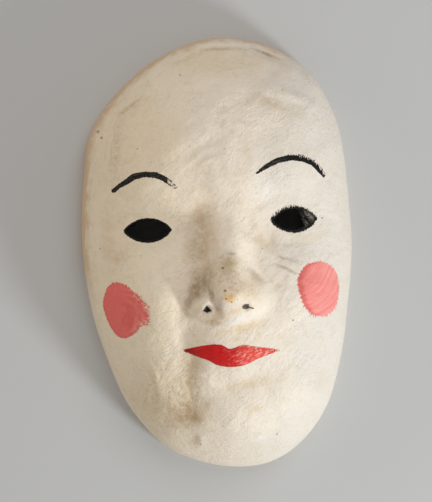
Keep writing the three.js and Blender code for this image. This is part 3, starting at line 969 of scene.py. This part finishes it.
def paintInk(f, base, fine):
    # brows, the edges of the eyes and the nostrils
    depth, side = f.attribute("browPaint"), f.attribute("browSide")
    hairs = f.streaks(72, 0.5, 3.8, 1)
    bristly = f.ramp(f.x, 33, 42) * f.ramp(side, -0.2, 0.6)
    ragged = (hairs - 0.5) * (0.6 + bristly * 4.6) + (fine - 0.5) * 0.8
    brows = f.ramp(depth + ragged, -0.1, 0.12)
    hollow = f.ramp(f.x, -30.2, -29.2) * f.ramp(f.x, -20, -22) * f.ramp(depth, 0.35, 0.6)
    worn = f.ramp(f.x, -28.2, -27.4) * f.ramp(f.x, -20, -22) * f.ramp(f.noise(1.1, 2), 0.44, 0.52)
    brows = brows * (1 - hollow.atLeast(worn) * 0.9)
    dry = f.ramp(f.streaks(8, 0.6, 6, 3), 0.46, 0.6) * f.ramp(f.x, 38, 28) * f.ramp(depth, 0.15, 0.6)
    base = f.coat(base, f.coat(ink["black"], ink["dry"], dry * 0.7), brows)

    gap = f.attribute("eyeDistance")
    lash = f.noise(1.1, 3, 0.6) - 0.5
    leftEdge = f.ramp(gap + lash * 1.1, 1.05, 0.75) * f.ramp(f.x, 0, -1)
    upper = f.ramp(f.y, 15, 19)
    rightEdge = f.ramp(gap + (lash * 3.2 + (hairs - 0.5) * 4.5) * (0.4 + upper * 0.6), 1.6, 1.3)
    rightEdge = rightEdge * f.ramp(f.x, 0, 1)
    bareRim = f.ramp(f.blot((47.8, 21.6), (2.6, 1.6), -30) + lash, 1.0, 0.6)
    edges = leftEdge + rightEdge * (1 - bareRim * 0.85)
    base = f.coat(base, ink["black"], edges)

    left = f.ramp(f.insideCorners(ink["leftNostril"]) + (fine - 0.5) * 0.6, -0.1, 0.4)
    # painted shade in a ring round the left nostril's dent
    base = f.coat(base, gesso["grime"], f.ramp(f.blot((-12.5, -29.6), (3.4, 2.9)), 1.1, 0.6) * 0.3)
    base = f.coat(base, ink["black"], left)
    # painted light: the right nostril's black paint is painted in its lit grey, with a darker middle
    right = f.ramp(f.blot(ink["rightNostril"], (2.3, 1.6), 4) + (fine - 0.5) * 0.7, 1.05, 0.8)
    right = right.atLeast(f.ramp(f.gapTo(*ink["rightTail"]) + (fine - 0.5) * 0.4, 0.5, 0.2))
    base = f.coat(base, ink["thin"], right * 0.95)
    base = f.coat(base, ink["black"], f.ramp(f.blot((8.2, -28.8), (1.3, 0.7), 0), 1.1, 0.5) * 0.5)
    return base, brows + edges


def makeFaceFinish():
    f = Finish("painted gesso")
    fine = f.noise(0.8, 2)
    rim = f.attribute("rimDistance")
    base = paintGesso(f, rim)
    base, cheekMask = paintCheeks(f, base)
    base, lipMask, stroke = paintLips(f, base, fine)
    base, inked = paintInk(f, base, fine)
    # painted highlight: a pale line along the lower left rim, where its edge catches the light
    paintedRimHighlight = f.ramp(rim, 1.7, 0.7) * f.ramp(f.y * 0.8 + f.x * 0.55, -40, -62) * 0.6
    base = f.coat(base, gesso["cream"], paintedRimHighlight)

    crumpled = f.ramp(f.blot(crumple["middle"], (32, 32)), 1.0, 0.2)
    folds = f.ramp((f.streaks(34, 4.5, 13, 4) - 0.5).size(), 0, 0.05)
    folds = folds * f.ramp(f.noise(16, 2), 0.46, 0.6)
    height = (f.noise(2.4, 5, 0.66) * (0.46 + crumpled * 0.2) + f.noise(0.7, 3, 0.6) * 0.15
              + f.streaks(38, 1.5, 6, 4) * 0.22 + f.streaks(-35, 1.5, 8, 3) * 0.16 + folds * 0.12
              + cheekMask * 0.05 + lipMask * (0.1 + stroke * 0.4) + inked * 0.07)
    bump = f.bump(height, 1.0, gesso["bump"])
    skin = gesso["roughness"] + (f.noise(9, 3) - 0.5) * 0.16
    shine = skin + cheekMask * 0.06
    shine = shine + lipMask * (lipPaint["roughness"] - gesso["roughness"])
    shine = shine + inked * (ink["roughness"] - gesso["roughness"])
    return f.finish(Base_Color=base, Roughness=shine, Normal=bump, IOR=gesso["density"],
                    Specular_IOR_Level=gesso["gloss"])


pulp = {
    "brown": colour(70, 60, 50),
    "light": colour(104, 90, 74),
    "dark": colour(46, 38, 32),
    "roughness": 0.9,
}


def makeInsideFinish():
    # raw pulp, pasted in scraps
    f = Finish("raw pulp inside")
    scraps = f.noise(18, 3) * 0.6 + f.noise(5, 4, 0.6) * 0.4
    base = f.coat(pulp["brown"], pulp["light"], f.ramp(scraps, 0.4, 0.62))
    base = f.coat(base, pulp["dark"], f.ramp(f.noise(2.2, 4, 0.7), 0.56, 0.7, 0, 0.6))
    height = f.noise(3.5, 4, 0.6) * 0.5 + f.noise(1.1, 3) * 0.15
    bump = f.bump(height, 0.9)
    return f.finish(Base_Color=base, Roughness=pulp["roughness"], Normal=bump)


cutEdge = {
    "grey": colour(120, 114, 106),
    "light": colour(176, 168, 154),
    "torn": colour(44, 38, 34),
    "torn light": colour(148, 140, 128),
    "brown": colour(128, 92, 62),
    "inkLine": ((42.6, 20.5), (48.2, 12.3)),
    "roughness": 0.8,
}


def makeEdgeFinish():
    # the cut edge: grey layered paper, inked black round the left eye and partly round the right
    f = Finish("cut paper edge")
    layers = f.noise(1.6, 3)
    torn = f.streaks(-38, 0.9, 2.6, 4)
    base = f.coat(cutEdge["grey"], cutEdge["light"], f.ramp(layers, 0.38, 0.62))
    base = f.coat(base, gesso["tan"], 0.5)
    inEyes = f.ramp(f.y, -10, 0) * f.ramp(f.y, 40, 30) * f.ramp(f.x.size(), 58, 54)
    torn = f.coat(cutEdge["torn"], cutEdge["torn light"], f.ramp(torn, 0.42, 0.62))
    torn = f.coat(torn, ink["black"], f.ramp(f.gapTo(*cutEdge["inkLine"]), 0.7, 0.35))
    torn = f.coat(torn, cutEdge["brown"], f.ramp(f.blot((48, 21), (3.4, 2.2), -30), 1.1, 0.6))
    torn = f.coat(torn, ink["black"], f.ramp(f.x + (layers - 0.5) * 3, 44, 42.4))
    base = f.coat(base, torn, inEyes)
    bump = f.bump(layers * 0.4, 0.8)
    return f.finish(Base_Color=base, Roughness=cutEdge["roughness"], Normal=bump)


for material in (makeFaceFinish(), makeInsideFinish(), makeEdgeFinish()):
    mask.data.materials.append(material)
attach(mask, "root")
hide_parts("mask_shell")
print("mask painted")


studio = {
    "floorSize": 4.0,
    "floor": colour(200, 200, 199),
    "floorRoughness": 0.9,
    "key": {"aim": (0.68, -0.63, 0.40), "away": 1.2, "size": 0.25, "power": 8.0,
            "colour": (0.94, 1.0, 1.03)},  # low over the floor, from below the chin's right
    "fill": {"aim": (0.3, 0.5, 0.81), "away": 1.5, "size": 0.9, "power": 4.8,
             "colour": (1.0, 1.0, 1.0)},
    "glow": {"aim": (-0.9, 0.15, 0.3), "away": 1.2, "size": 0.8, "power": 1.4,
             "colour": (1.0, 0.9, 0.7)},  # what a warm wall sends back from the left
    "room": 0.4,
    "roomColour": (1.03, 1.0, 0.975, 1.0),
}


def makeLight(name):
    plan = studio[name]
    aim = Vector(plan["aim"]).normalized()
    lamp = bpy.data.lights.new(name, "AREA")
    lamp.shape = "DISK"
    lamp.size = plan["size"]
    lamp.energy = plan["power"]
    lamp.color = plan["colour"]
    light = bpy.data.objects.new(name, lamp)
    light.location = aim * plan["away"]
    light.rotation_euler = aim.to_track_quat("Z", "Y").to_euler()
    bpy.context.collection.objects.link(light)


def makeStudio():
    bm = bmesh.new()
    bmesh.ops.create_grid(bm, x_segments=1, y_segments=1, size=studio["floorSize"] / 2)
    mesh = bpy.data.meshes.new("studio_floor")
    bm.to_mesh(mesh)
    bm.free()
    floor = bpy.data.objects.new("studio_floor", mesh)
    bpy.context.collection.objects.link(floor)
    f = Finish("pale floor")
    mesh.materials.append(f.finish(Base_Color=studio["floor"], Roughness=studio["floorRoughness"]))
    for name in ("key", "fill", "glow"):
        makeLight(name)
    world = bpy.data.worlds.new("room")
    world.use_nodes = True
    sky = world.node_tree.nodes["Background"]
    sky.inputs["Color"].default_value = studio["roomColour"]
    sky.inputs["Strength"].default_value = studio["room"]
    bpy.context.scene.world = world
    bpy.context.scene.view_settings.view_transform = "Standard"


makeStudio()
print("studio lit")
